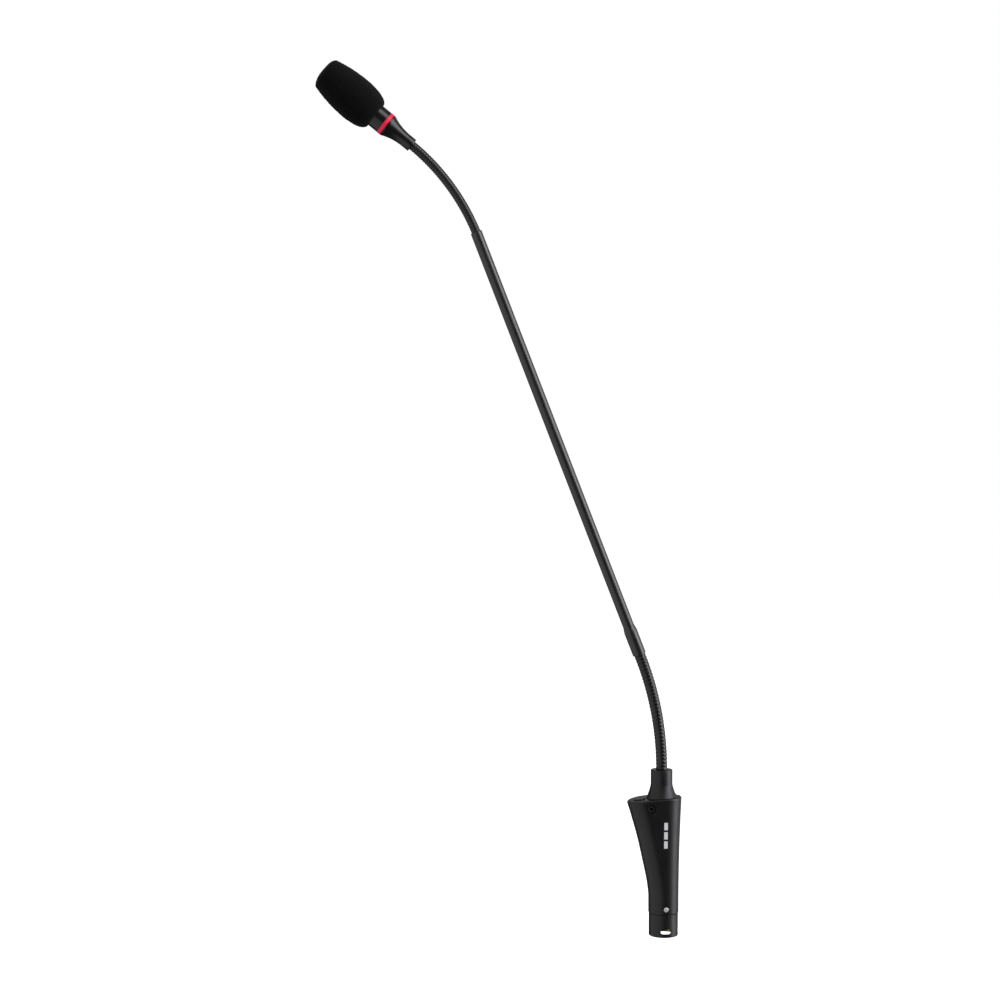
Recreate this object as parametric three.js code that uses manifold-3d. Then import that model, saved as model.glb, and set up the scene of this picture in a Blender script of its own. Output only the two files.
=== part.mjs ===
// Gooseneck podium microphone: plug-in XLR preamplifier base, two-flex neck, lit head, foam windscreen.
// Millimetres, +Z up. The origin is the centre of the XLR plug's open rim, on the plug's axis.
// The neck and the housing's flare lie in the XZ plane and lean towards -X.

import * as THREE from "three";
import { mergeVertices } from "three/addons/utils/BufferGeometryUtils.js";
import Module from "manifold-3d";

const wasm = await Module();
wasm.setup();

// ---------------------------------------------------------------- driving dimensions

const GAP = 0.3; // clearance between neighbouring pieces

// XLR plug
const SHELL_RADIUS = 9.5;
const SHELL_BORE = 8.3;
const SHELL_VISIBLE = 15;
const SPIGOT_RADIUS = 8.95;
const SPIGOT_TOP = 24;
const WINDOW_WIDTH = 6.8;
const WINDOW_BOTTOM = 2.3;
const WINDOW_TOP = 5.6;
const INSULATOR_BOTTOM = 15.5;
const INSULATOR_TOP = 23.5;
const PIN_RADIUS = 1.2;
const PIN_CIRCLE = 4;
const PIN_TIP = 2.5;
const PIN_END = 27;
const PIN_ANGLES = [90, 205, 335];
const RETAINING_SCREW_HEIGHT = 18.4;
const RETAINING_SCREW_RADIUS = 1.55;

// Housing: a round foot that flares towards -X into an oblong top
const HOUSING_BOTTOM = SHELL_VISIBLE;
const FOOT_RADIUS = 9.8;
const TOP_RADIUS = 11.65;
const TOP_HEIGHT = 90.6;
const FLARE_START = 26.5;
const FLARE_REACH = 12.3;
const FLARE_HEIGHT = 59.9;
const WALL = 1.5;
const CROWN_RADIUS = 185;
const CROWN_X = 10;
const COVER_THICKNESS = 2.4;
const SIDE_SCREW_X = -10.1;
const SIDE_SCREW_HEIGHT = 84.2;
const SIDE_SCREW_HEAD = 2.65;

// Mute button
const BUTTON_X = -16;
const BUTTON_RADIUS = 3.7;
const BUTTON_PROUD = 0.8;
const BUTTON_TRAVEL = 0.8;

// Neck: one path of arcs and a straight, from the collar's mouth to the head
const NECK_X = -1.38;
const COLLAR_TOP = 108.1;
const COLLAR_RADIUS = 7.05;
const STEM_RADIUS = 4.5;
const CABLE_RADIUS = 1.3;
const CABLE_BORE = 1.9;
const LOWER_FLEX = { length: 77, from: 0, to: 22.3, radius: 3.6 };
const TUBE = { length: 290.3, from: 21.4, to: 21.4, radius: 3.65 };
const UPPER_FLEX = { length: 68.3, from: 22.8, to: 51.2, radius: 2.92 };
const FLEX_HINGES = 12;
const MOUTH_TO_HINGE = 0.5; // the first and last hinge of a flex stand this far off the mouths
const LINK_END_SLOPE = 7.5; // each link end falls away by this angle, so that two links can tilt
const FERRULE_LENGTH = 19;

// Head, along its own axis with 0 at the middle of the light ring
const ADAPTER_LENGTH = 21.3;
const RING_RADIUS = 7.6;
const RING_WIDTH = 2.3;
const HEAD_RADIUS = 7.5;
const HEAD_END = 34;
const FOAM_START = 8.1;
const FOAM_END = 51.1;
const FOAM_RADIUS = 13.85;
const FOAM_WIDEST = 23.8;
const FOAM_TIP_RADIUS = 11;

// Electronics
const BOARD_BOTTOM = 32;
const BOARD_TOP = 78;
const CABLE_START = -34; // along the neck, inside the housing

// ---------------------------------------------------------------- materials

const finish = (color, roughness, metalness) => ({ color, roughness, metalness });
const BLACK_METAL = finish(0x1a1a1c, 0.42, 0.6);
const BLACK_STEEL = finish(0x161618, 0.4, 0.7);
const BLACK_PLASTIC = finish(0x141416, 0.5, 0);
const RED_LENS = finish(0xe11e3c, 0.3, 0);
const FOAM = finish(0x0a0a0b, 1, 0);
const SILVER = finish(0xc8c8cc, 0.3, 1);
const GOLD = finish(0xc9a24a, 0.3, 1);
const BOARD_GREEN = finish(0x1f5a34, 0.5, 0);
const RUBBER = finish(0x101010, 0.8, 0);
const CABLE_JACKET = finish(0x222224, 0.6, 0);
const CAPACITOR_SLEEVE = finish(0x1c2a5c, 0.4, 0);

// ---------------------------------------------------------------- geometry helpers

const radians = THREE.MathUtils.degToRad;

function signedVolume(positions, index) {
  const corner = (i) => new THREE.Vector3().fromArray(positions, 3 * index[i]);
  let volume = 0;
  for (let i = 0; i < index.length; i += 3) {
    volume += corner(i).dot(corner(i + 1).cross(corner(i + 2))) / 6;
  }
  return volume;
}

// Shared vertices merged, flat slivers dropped, faces pointing out.
function welded(geometry) {
  const bare = geometry.clone();
  bare.deleteAttribute("normal");
  bare.deleteAttribute("uv");
  const merged = mergeVertices(bare, 1e-4);
  const all = merged.index.array;
  const kept = [];
  for (let i = 0; i < all.length; i += 3) {
    const [a, b, c] = [all[i], all[i + 1], all[i + 2]];
    if (a !== b && b !== c && c !== a) kept.push(a, b, c);
  }
  if (signedVolume(merged.attributes.position.array, kept) < 0) kept.reverse();
  merged.setIndex(kept);
  return merged;
}

function solidOf(geometry) {
  const merged = welded(geometry);
  const vertProperties = Float32Array.from(merged.attributes.position.array);
  const triVerts = Uint32Array.from(merged.index.array);
  return new wasm.Manifold(new wasm.Mesh({ numProp: 3, vertProperties, triVerts }));
}

function geometryOf(solid) {
  const mesh = solid.getMesh();
  const geometry = new THREE.BufferGeometry();
  geometry.setAttribute("position", new THREE.BufferAttribute(Float32Array.from(mesh.vertProperties), 3));
  geometry.setIndex(Array.from(mesh.triVerts));
  return geometry;
}

function cut(geometry, ...tools) {
  let solid = solidOf(geometry);
  for (const tool of tools) solid = solid.subtract(solidOf(tool));
  return geometryOf(solid);
}

function join(geometry, ...others) {
  let solid = solidOf(geometry);
  for (const other of others) solid = solid.add(solidOf(other));
  return geometryOf(solid);
}

function common(geometry, other) {
  return geometryOf(solidOf(geometry).intersect(solidOf(other)));
}

// A body of revolution about Z from [radius, height] pairs.
function turned(profile, sides = 32) {
  const points = profile.map(([radius, height]) => new THREE.Vector2(radius, height));
  return new THREE.LatheGeometry(points, sides).rotateX(Math.PI / 2);
}

// A washer, sleeve or pipe about Z.
function pipe(outer, inner, low, high, sides = 28) {
  return turned([[inner, low], [outer, low], [outer, high], [inner, high], [inner, low]], sides);
}

// A solid round bar about Z.
function bar(radius, low, high, sides = 24) {
  return turned([[0, low], [radius, low], [radius, high], [0, high]], sides);
}

function block(width, depth, height, x, y, z) {
  return new THREE.BoxGeometry(width, depth, height).translate(x, y, z);
}

// A skin through closed outlines with the same number of points, capped at both ends.
function loft(outlines) {
  const count = outlines[0].length;
  const positions = outlines.flat().flatMap((point) => point.toArray());
  const index = [];
  for (let level = 0; level + 1 < outlines.length; level++) {
    for (let i = 0; i < count; i++) {
      const a = level * count + i;
      const b = level * count + ((i + 1) % count);
      index.push(a, b, b + count, a, b + count, a + count);
    }
  }
  const last = (outlines.length - 1) * count;
  for (let i = 1; i + 1 < count; i++) {
    index.push(0, i + 1, i, last, last + i, last + i + 1);
  }
  const geometry = new THREE.BufferGeometry();
  geometry.setAttribute("position", new THREE.Float32BufferAttribute(positions, 3));
  geometry.setIndex(index);
  return geometry;
}

// A round rod that follows a curve.
function rod(curve, radius, steps, sides = 8) {
  const section = [];
  for (let i = 0; i < sides; i++) {
    const turn = (2 * Math.PI * i) / sides;
    section.push(new THREE.Vector2(radius * Math.cos(turn), radius * Math.sin(turn)));
  }
  const options = { steps, extrudePath: curve, bevelEnabled: false };
  return new THREE.ExtrudeGeometry(new THREE.Shape(section), options);
}

const model = new THREE.Group();

function add(parent, name, geometry, look) {
  const mesh = new THREE.Mesh(welded(geometry), new THREE.MeshStandardMaterial(look));
  mesh.name = name;
  parent.add(mesh);
  return mesh;
}

// ---------------------------------------------------------------- neck path

// Tilts are measured from +Z towards -X.
class NeckPath extends THREE.Curve {
  constructor(stretches, start, end) {
    super();
    this.stretches = stretches;
    this.start = start;
    this.end = end;
  }

  // Place and tilt at a distance along the neck from the collar's mouth; the ends run on straight.
  at(distance) {
    let x = NECK_X;
    let z = COLLAR_TOP;
    let tilt = radians(this.stretches[0].from);
    let left = distance;
    if (distance < 0) {
      return { x: x - Math.sin(tilt) * distance, z: z + Math.cos(tilt) * distance, tilt };
    }
    for (const stretch of this.stretches) {
      const part = Math.min(left, stretch.length);
      const from = radians(stretch.from);
      const bend = ((radians(stretch.to) - from) * part) / stretch.length;
      const chord = bend === 0 ? part : (part * Math.sin(bend / 2)) / (bend / 2);
      x -= chord * Math.sin(from + bend / 2);
      z += chord * Math.cos(from + bend / 2);
      tilt = from + bend;
      left -= part;
      if (part < stretch.length) break;
    }
    return { x: x - Math.sin(tilt) * left, z: z + Math.cos(tilt) * left, tilt };
  }

  getPoint(share, target = new THREE.Vector3()) {
    const place = this.at(this.start + share * (this.end - this.start));
    return target.set(place.x, 0, place.z);
  }
}

const tubeStart = LOWER_FLEX.length;
const tubeEnd = tubeStart + TUBE.length;
const neckEnd = tubeEnd + UPPER_FLEX.length;
const ringAt = neckEnd + ADAPTER_LENGTH;
const cableEnd = ringAt + 21.4;
const neck = new NeckPath([LOWER_FLEX, TUBE, UPPER_FLEX], CABLE_START, cableEnd);

// A group whose own Z runs along the neck at the given distance.
function neckFrame(distance) {
  const { x, z, tilt } = neck.at(distance);
  const frame = new THREE.Group();
  frame.position.set(x, 0, z);
  frame.rotation.y = -tilt;
  model.add(frame);
  return frame;
}

// ---------------------------------------------------------------- housing shape

const OUTLINE_POINTS = 32;

function roundRadius(z) {
  const share = Math.max(0, (z - HOUSING_BOTTOM) / (TOP_HEIGHT - HOUSING_BOTTOM));
  return FOOT_RADIUS + (TOP_RADIUS - FOOT_RADIUS) * share ** 2.2;
}

function flareReach(z) {
  const share = Math.max(0, (z - FLARE_START) / FLARE_HEIGHT);
  return FLARE_REACH * share ** 1.3;
}

// Two equal arcs joined by flats: the housing's plan at a height, drawn in by the inset.
function housingOutline(z, inset) {
  const radius = roundRadius(z) - inset;
  const reach = flareReach(z);
  const outline = [];
  for (let i = 0; i < OUTLINE_POINTS; i++) {
    const turn = (2 * Math.PI * (i + 0.5)) / OUTLINE_POINTS;
    const x = radius * Math.cos(turn) - (Math.cos(turn) < 0 ? reach : 0);
    outline.push(new THREE.Vector3(x, radius * Math.sin(turn), z));
  }
  return outline;
}

function housingLoft(low, high, inset) {
  const inner = [33, 43, 53, 63, 73, 82].filter((z) => z > low + 1 && z < high - 1);
  return loft([low, ...inner, high].map((z) => housingOutline(z, inset)));
}

// Everything below the crowned top face, moved up or down by the offset.
function underCrown(offset) {
  const radius = CROWN_RADIUS + offset;
  const centre = TOP_HEIGHT - CROWN_RADIUS;
  const shape = [];
  for (let x = -30; x <= 20; x += 5) {
    shape.push(new THREE.Vector2(x, centre + Math.sqrt(radius ** 2 - (x - CROWN_X) ** 2)));
  }
  shape.push(new THREE.Vector2(20, 0), new THREE.Vector2(-30, 0));
  const options = { depth: 40, bevelEnabled: false };
  return new THREE.ExtrudeGeometry(new THREE.Shape(shape), options).rotateX(Math.PI / 2).translate(0, 20, 0);
}

function crownHeight(x) {
  return TOP_HEIGHT - CROWN_RADIUS + Math.sqrt(CROWN_RADIUS ** 2 - (x - CROWN_X) ** 2);
}

// ---------------------------------------------------------------- XLR plug

function acrossY(geometry, x, z) {
  return geometry.rotateX(Math.PI / 2).translate(x, 0, z);
}

// A latch window: a rounded slot through one wall, seen from the side given by the angle about Z.
function windowCutter(degrees) {
  const halfWidth = WINDOW_WIDTH / 2;
  const halfHeight = (WINDOW_TOP - WINDOW_BOTTOM) / 2;
  const corner = 1.3;
  const slot = new THREE.Shape();
  slot.absarc(halfWidth - corner, halfHeight - corner, corner, 0, Math.PI / 2);
  slot.absarc(corner - halfWidth, halfHeight - corner, corner, Math.PI / 2, Math.PI);
  slot.absarc(corner - halfWidth, corner - halfHeight, corner, Math.PI, 1.5 * Math.PI);
  slot.absarc(halfWidth - corner, corner - halfHeight, corner, 1.5 * Math.PI, 2 * Math.PI);
  const options = { depth: 6, bevelEnabled: false, curveSegments: 3 };
  const cutter = new THREE.ExtrudeGeometry(slot, options).rotateX(Math.PI / 2);
  cutter.translate(0, -6, (WINDOW_TOP + WINDOW_BOTTOM) / 2);
  return cutter.rotateZ(radians(degrees));
}

function xlrShell() {
  const edge = 0.6;
  const body = turned([
    [SHELL_BORE, 0],
    [SHELL_RADIUS - edge, 0],
    [SHELL_RADIUS - edge * 0.3, edge * 0.3],
    [SHELL_RADIUS, edge],
    [SHELL_RADIUS, SHELL_VISIBLE - GAP],
    [SPIGOT_RADIUS, SHELL_VISIBLE - GAP],
    [SPIGOT_RADIUS, SPIGOT_TOP],
    [SHELL_BORE, SPIGOT_TOP],
    [SHELL_BORE, 0],
  ], 36);
  const screwHole = acrossY(bar(1.1, 5, 12), 0, RETAINING_SCREW_HEIGHT);
  return cut(body, windowCutter(0), windowCutter(90), screwHole);
}

function pinPlace(degrees) {
  const turn = radians(degrees);
  return [PIN_CIRCLE * Math.cos(turn), PIN_CIRCLE * Math.sin(turn)];
}

function insulator() {
  const body = bar(SHELL_BORE - GAP, INSULATOR_BOTTOM, INSULATOR_TOP, 32);
  const holes = PIN_ANGLES.map((degrees) => {
    const [x, y] = pinPlace(degrees);
    return bar(PIN_RADIUS + GAP, INSULATOR_BOTTOM - 1, INSULATOR_TOP + 1, 16).translate(x, y, 0);
  });
  const screwHole = acrossY(bar(1.1, 6, 12), 0, RETAINING_SCREW_HEIGHT);
  return cut(body, screwHole, ...holes);
}

function contactPin(degrees) {
  const [x, y] = pinPlace(degrees);
  const nose = 0.5;
  const profile = [
    [0, PIN_TIP],
    [PIN_RADIUS - nose, PIN_TIP],
    [PIN_RADIUS, PIN_TIP + nose],
    [PIN_RADIUS, PIN_END],
    [0, PIN_END],
  ];
  return turned(profile, 16).translate(x, y, 0);
}

function retainingScrew() {
  const head = bar(RETAINING_SCREW_RADIUS, 9.3, 9.95, 20);
  const shank = bar(0.8, 6.6, 9.4, 12);
  const slot = block(0.5, 4, 0.6, 0, 0, 9.95);
  return acrossY(cut(join(head, shank), slot), 0, RETAINING_SCREW_HEIGHT);
}

const PAD_Y = 0.9;
const PAD_X = [0, -4.5, 4.5];

// A conductor from a pin's solder cup to the foot of the circuit board.
function pinWire(degrees, padX) {
  const [x, y] = pinPlace(degrees);
  const route = new THREE.CatmullRomCurve3([
    new THREE.Vector3(x, y, PIN_END + GAP),
    new THREE.Vector3(x, y, PIN_END + 1.2),
    new THREE.Vector3((x + padX) / 2, (y + PAD_Y) / 2, PIN_END + 2.7),
    new THREE.Vector3(padX, PAD_Y, PIN_END + 4.5),
    new THREE.Vector3(padX, PAD_Y, PIN_END + 9),
  ]);
  return rod(route, 0.5, 10, 6);
}

add(model, "xlr_shell", xlrShell(), BLACK_METAL);
add(model, "xlr_insulator", insulator(), BLACK_PLASTIC);
add(model, "xlr_retaining_screw", retainingScrew(), SILVER);
PIN_ANGLES.forEach((degrees, i) => {
  add(model, `xlr_pin_${i + 1}`, contactPin(degrees), GOLD);
  add(model, `pin_wire_${i + 1}`, pinWire(degrees, PAD_X[i]), CABLE_JACKET);
});

// ---------------------------------------------------------------- housing and cover

function sideScrewCutter(radius, low, side) {
  const cutter = bar(radius, low, 16, 24).rotateX((side * Math.PI) / 2);
  return cutter.translate(SIDE_SCREW_X, 0, SIDE_SCREW_HEIGHT);
}

function housing() {
  const outer = common(housingLoft(HOUSING_BOTTOM, TOP_HEIGHT + 2, 0), underCrown(0));
  const cavity = housingLoft(SPIGOT_TOP + GAP, TOP_HEIGHT + 3, WALL);
  const foot = bar(SPIGOT_RADIUS + GAP, HOUSING_BOTTOM - 1, SPIGOT_TOP + 2 * GAP, 32);
  const screwHole = acrossY(bar(RETAINING_SCREW_RADIUS + GAP, 7, 12), 0, RETAINING_SCREW_HEIGHT);
  const recess = SIDE_SCREW_HEAD + GAP;
  return cut(outer, cavity, foot, screwHole, sideScrewCutter(recess, 7, 1), sideScrewCutter(recess, 7, -1));
}

const collarTilt = radians(LOWER_FLEX.from);

function inCollarFrame(geometry) {
  return geometry.rotateY(-collarTilt).translate(NECK_X, 0, COLLAR_TOP);
}

const crownSlope = Math.asin((CROWN_X - BUTTON_X) / CROWN_RADIUS);

// A group whose own Z is the mute button's travel, with 0 on the crowned top face.
const buttonFrame = new THREE.Group();
buttonFrame.position.set(BUTTON_X, 0, crownHeight(BUTTON_X));
buttonFrame.rotation.y = -crownSlope;
model.add(buttonFrame);

function inButtonFrame(geometry) {
  return geometry.rotateY(-crownSlope).translate(BUTTON_X, 0, crownHeight(BUTTON_X));
}

function topCover() {
  const plan = housingLoft(78, TOP_HEIGHT + 3, WALL + GAP);
  const plate = cut(common(plan, underCrown(0)), underCrown(-COVER_THICKNESS));
  const bars = [-1, 1].map((side) => block(5.6, 3, 9, SIDE_SCREW_X, side * 7.5, 84));
  const lugs = bars.map((lug) => common(common(lug, plan), underCrown(-COVER_THICKNESS / 2)));
  const lugged = join(plate, ...lugs);
  const stemHole = inCollarFrame(bar(STEM_RADIUS + GAP, -40, 0));
  const buttonHole = inButtonFrame(bar(BUTTON_RADIUS + GAP, -10, 5));
  const threads = [-1, 1].map((side) => sideScrewCutter(1.25, 4, side));
  return cut(lugged, stemHole, buttonHole, ...threads);
}

function sideScrew(side) {
  const seat = roundRadius(SIDE_SCREW_HEIGHT) - 2.1;
  const head = bar(SIDE_SCREW_HEAD, seat, seat + 1.4, 24);
  const shank = bar(0.95, seat - 2.9, seat + 0.1, 12);
  const socket = bar(1, seat + 0.5, seat + 2, 6);
  const screw = cut(join(head, shank), socket).rotateX((side * Math.PI) / 2);
  return screw.translate(SIDE_SCREW_X, 0, SIDE_SCREW_HEIGHT);
}

add(model, "housing", housing(), BLACK_METAL);
add(model, "top_cover", topCover(), BLACK_METAL);
add(model, "side_screw_front", sideScrew(1), BLACK_STEEL);
add(model, "side_screw_back", sideScrew(-1), BLACK_STEEL);

// ---------------------------------------------------------------- mute switch

const FLANGE_RADIUS = 4.3;
const flangeTop = -COVER_THICKNESS - GAP;
const flangeBottom = flangeTop - 0.8;
const switchTop = flangeBottom - GAP - BUTTON_TRAVEL - GAP;

function muteButton() {
  const edge = 0.3;
  return turned([
    [0, flangeBottom],
    [FLANGE_RADIUS, flangeBottom],
    [FLANGE_RADIUS, flangeTop],
    [BUTTON_RADIUS, flangeTop],
    [BUTTON_RADIUS, BUTTON_PROUD - edge],
    [BUTTON_RADIUS - edge, BUTTON_PROUD],
    [0, BUTTON_PROUD - 0.15],
  ], 24);
}

// The switch's stem enters its body with clearance all round, so it can go down with the button.
const plungerTop = flangeBottom - GAP;
const plungerBottom = switchTop - 0.8;
add(buttonFrame, "mute_button", muteButton(), BLACK_PLASTIC);
add(buttonFrame, "switch_plunger", bar(1.4, plungerBottom, plungerTop, 16), BLACK_PLASTIC);

function tactSwitch() {
  const body = block(6, 6, 3, 0, 0, switchTop - 1.5);
  const well = bar(1.4 + GAP, plungerBottom - BUTTON_TRAVEL - GAP, switchTop + 1, 16);
  return cut(body, well);
}

add(buttonFrame, "tact_switch", tactSwitch(), BLACK_PLASTIC);
add(buttonFrame, "switch_board", block(8, 7, 1, 0.9, 0, switchTop - 3 - GAP - 0.5), BOARD_GREEN);

// ---------------------------------------------------------------- preamplifier

const BOARD_FACE = 2.2;
const boardHeight = BOARD_TOP - BOARD_BOTTOM;
const boardMiddle = (BOARD_TOP + BOARD_BOTTOM) / 2;
add(model, "preamp_board", block(13.4, 1.6, boardHeight, 0, BOARD_FACE + 0.8, boardMiddle), BOARD_GREEN);

[42, 50].forEach((z, i) => {
  const capacitor = acrossY(bar(2.5, -BOARD_FACE + GAP, 5, 20), 1.5 - 3 * i, z);
  add(model, `capacitor_${i + 1}`, capacitor, CAPACITOR_SLEEVE);
});
add(model, "amplifier_chip", block(6, 1.6, 5, 0, BOARD_FACE - GAP - 0.8, 59), BLACK_PLASTIC);

// ---------------------------------------------------------------- neck foot

// The flared collar with its threaded stem, which passes through the cover and takes the nut.
function neckCollar() {
  const chamfer = 0.4;
  const flareFrom = 9;
  const flareTo = 18;
  const flareSpread = 2.9;
  const skirt = [[0, -20], [COLLAR_RADIUS + flareSpread, -20]];
  for (let i = 0; i <= 6; i++) {
    const share = 1 - i / 6;
    const depth = flareFrom + (flareTo - flareFrom) * share;
    skirt.push([COLLAR_RADIUS + flareSpread * share ** 1.5, -depth]);
  }
  skirt.push([COLLAR_RADIUS, -chamfer], [COLLAR_RADIUS - chamfer, 0], [0, 0]);
  const base = underCrown(GAP).translate(-NECK_X, 0, -COLLAR_TOP).rotateY(collarTilt);
  const stem = bar(STEM_RADIUS, -27.5, -10, 24);
  return cut(join(cut(turned(skirt, 28), base), stem), bar(CABLE_BORE, -30, 1, 16));
}

const collarFrame = neckFrame(0);
add(collarFrame, "neck_collar", neckCollar(), BLACK_METAL);
add(collarFrame, "lock_washer", pipe(7, STEM_RADIUS + GAP, -22.4, -21.6), SILVER);
add(collarFrame, "neck_nut", cut(bar(7.5, -25.9, -22.7, 6), bar(STEM_RADIUS + GAP, -30, -20)), SILVER);

// ---------------------------------------------------------------- flexes

// Links are hollow beads. Hinges sit on the path between them, and each end face falls away
// from its hinge, so that neighbouring links tilt without touching.
function flexLink(radius, length) {
  const slope = Math.tan(radians(LINK_END_SLOPE));
  const half = length / 2 - GAP / 2;
  const rim = half - radius * slope;
  const throat = half - CABLE_BORE * slope;
  const profile = [[CABLE_BORE, -throat], [radius, -rim], [radius, rim], [CABLE_BORE, throat]];
  return turned([...profile, profile[0]], 16);
}

function addFlex(name, flex, start) {
  const span = flex.length - 2 * MOUTH_TO_HINGE;
  const hingePlace = (i) => neck.at(start + MOUTH_TO_HINGE + (span * i) / (FLEX_HINGES - 1));
  for (let i = 0; i + 1 < FLEX_HINGES; i++) {
    const low = hingePlace(i);
    const high = hingePlace(i + 1);
    const frame = new THREE.Group();
    frame.position.set((low.x + high.x) / 2, 0, (low.z + high.z) / 2);
    frame.rotation.y = Math.atan2(high.x - low.x, high.z - low.z);
    model.add(frame);
    const length = Math.hypot(high.x - low.x, high.z - low.z);
    const number = String(i + 1).padStart(2, "0");
    add(frame, `${name}_link_${number}`, flexLink(flex.radius, length), BLACK_STEEL);
  }
}

addFlex("lower_flex", LOWER_FLEX, 0);
addFlex("upper_flex", UPPER_FLEX, tubeEnd);

// ---------------------------------------------------------------- stem tube

const FERRULE_RADIUS = 4.3;
const SPIGOT_LENGTH = 6;
const tubeBore = TUBE.radius - 0.95;

function ferrule() {
  return turned([
    [CABLE_BORE, 0],
    [FERRULE_RADIUS - 0.2, 0],
    [FERRULE_RADIUS, 0.8],
    [FERRULE_RADIUS, FERRULE_LENGTH - 2.5],
    [TUBE.radius, FERRULE_LENGTH],
    [tubeBore - GAP, FERRULE_LENGTH],
    [tubeBore - GAP, FERRULE_LENGTH + SPIGOT_LENGTH],
    [CABLE_RADIUS + 0.4, FERRULE_LENGTH + SPIGOT_LENGTH],
    [CABLE_RADIUS + 0.4, 3],
    [CABLE_BORE, 0],
  ], 24);
}

function stemTube() {
  const low = FERRULE_LENGTH + GAP;
  const lip = 0.3;
  return turned([
    [tubeBore, low],
    [TUBE.radius, low],
    [TUBE.radius, TUBE.length - lip],
    [TUBE.radius - lip, TUBE.length],
    [tubeBore, TUBE.length],
    [tubeBore, low],
  ], 32);
}

const tubeFrame = neckFrame(tubeStart);
add(tubeFrame, "lower_ferrule", ferrule(), BLACK_METAL);
add(tubeFrame, "stem_tube", stemTube(), BLACK_METAL);

// ---------------------------------------------------------------- head

const headFrame = neckFrame(ringAt);
const ringHalf = RING_WIDTH / 2;
const ringBore = 4.9;

function neckAdapter() {
  const neckRadius = 4.35;
  const mouthEnd = -17.3;
  const rim = -ringHalf - GAP;
  const rimStart = rim - 0.7;
  const flareSpread = HEAD_RADIUS - neckRadius;
  const outside = [[neckRadius, -ADAPTER_LENGTH], [neckRadius, mouthEnd]];
  for (let i = 1; i <= 7; i++) {
    const share = i / 7;
    outside.push([neckRadius + flareSpread * share ** 2.2, mouthEnd + (rimStart - mouthEnd) * share]);
  }
  outside.push([HEAD_RADIUS, rim]);
  const inside = [[HEAD_RADIUS - 1.2, rim], [CABLE_BORE + 0.6, -9], [CABLE_BORE, -12]];
  return turned([[CABLE_BORE, -ADAPTER_LENGTH], ...outside, ...inside, [CABLE_BORE, -ADAPTER_LENGTH]], 28);
}

function capsuleHousing() {
  const wall = 0.8;
  const sleeve = pipe(HEAD_RADIUS, HEAD_RADIUS - wall, ringHalf + GAP, HEAD_END, 32);
  const slots = [];
  for (let i = 0; i < 8; i++) {
    slots.push(block(4, 1.8, 11, HEAD_RADIUS, 0, 18).rotateZ((2 * Math.PI * (i + 0.5)) / 8));
  }
  return cut(sleeve, ...slots);
}

function frontGrille() {
  const disc = bar(HEAD_RADIUS - 0.8 - GAP, HEAD_END - 1.6, HEAD_END - 0.4, 24);
  const holes = [bar(0.9, HEAD_END - 3, HEAD_END + 1, 8)];
  for (let i = 0; i < 6; i++) {
    holes.push(bar(0.9, HEAD_END - 3, HEAD_END + 1, 8).translate(3.4, 0, 0).rotateZ((Math.PI * i) / 3));
  }
  return cut(disc, ...holes);
}

function condenserCapsule() {
  const radius = 4.85;
  const edge = 0.4;
  return turned([[0, 22], [radius, 22], [radius, 29 - edge], [radius - edge, 29], [0, 29]], 32);
}

// The foam swells from its mouth to the widest place, then tapers to a domed tip.
function foamWindscreen() {
  const mouthRadius = HEAD_RADIUS + 0.8;
  const domeDepth = 4.1;
  const domeSpread = 8;
  const outside = [[mouthRadius, FOAM_START]];
  for (let i = 1; i <= 7; i++) {
    const turn = (Math.PI / 2) * (i / 7);
    const along = FOAM_START + (FOAM_WIDEST - FOAM_START) * (1 - Math.cos(turn));
    outside.push([mouthRadius + (FOAM_RADIUS - mouthRadius) * Math.sin(turn), along]);
  }
  const taperEnd = FOAM_END - domeDepth;
  for (let i = 1; i <= 5; i++) {
    const share = i / 5;
    const radius = FOAM_RADIUS - (FOAM_RADIUS - FOAM_TIP_RADIUS) * share ** 2;
    outside.push([radius, FOAM_WIDEST + (taperEnd - FOAM_WIDEST) * share]);
  }
  const domeCentre = FOAM_TIP_RADIUS - domeSpread;
  for (let i = 1; i <= 4; i++) {
    const turn = (Math.PI / 2) * (i / 4);
    outside.push([domeCentre + domeSpread * Math.cos(turn), taperEnd + domeDepth * Math.sin(turn)]);
  }
  const pocket = HEAD_RADIUS + GAP;
  const pocketEnd = HEAD_END + 1.5;
  return turned([[0, pocketEnd], [pocket, pocketEnd], [pocket, FOAM_START], ...outside, [0, FOAM_END]], 24);
}

add(headFrame, "neck_adapter", neckAdapter(), BLACK_METAL);
add(headFrame, "light_ring", pipe(RING_RADIUS, ringBore, -ringHalf, ringHalf, 32), RED_LENS);
add(headFrame, "led_board", pipe(ringBore - GAP, CABLE_RADIUS + 0.4, -0.9, -0.1, 24), BOARD_GREEN);
for (let i = 0; i < 2; i++) {
  const led = block(1.6, 1.6, 0.8, i === 0 ? 3.5 : -3.5, 0, 0.6);
  add(headFrame, `ring_led_${i + 1}`, led, RED_LENS);
}
add(headFrame, "capsule_housing", capsuleHousing(), BLACK_METAL);
add(headFrame, "capsule_mount", pipe(6.1, 5.15, 23, 28, 32), RUBBER);
add(headFrame, "condenser_capsule", condenserCapsule(), SILVER);
add(headFrame, "front_grille", frontGrille(), BLACK_STEEL);
add(headFrame, "foam_windscreen", foamWindscreen(), FOAM);

// ---------------------------------------------------------------- cable

add(model, "signal_cable", rod(neck, CABLE_RADIUS, 70, 8), CABLE_JACKET);

export default model;
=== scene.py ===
"""Looks of a gooseneck podium microphone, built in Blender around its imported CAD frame.

Sizes are in millimetres, in the CAD model's own frame, and become metres when a mesh is made.
"""

from math import asin, cos, pi, radians, sin, sqrt, tan

import bmesh
import bpy
from mathutils import Matrix, Vector, noise


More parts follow.
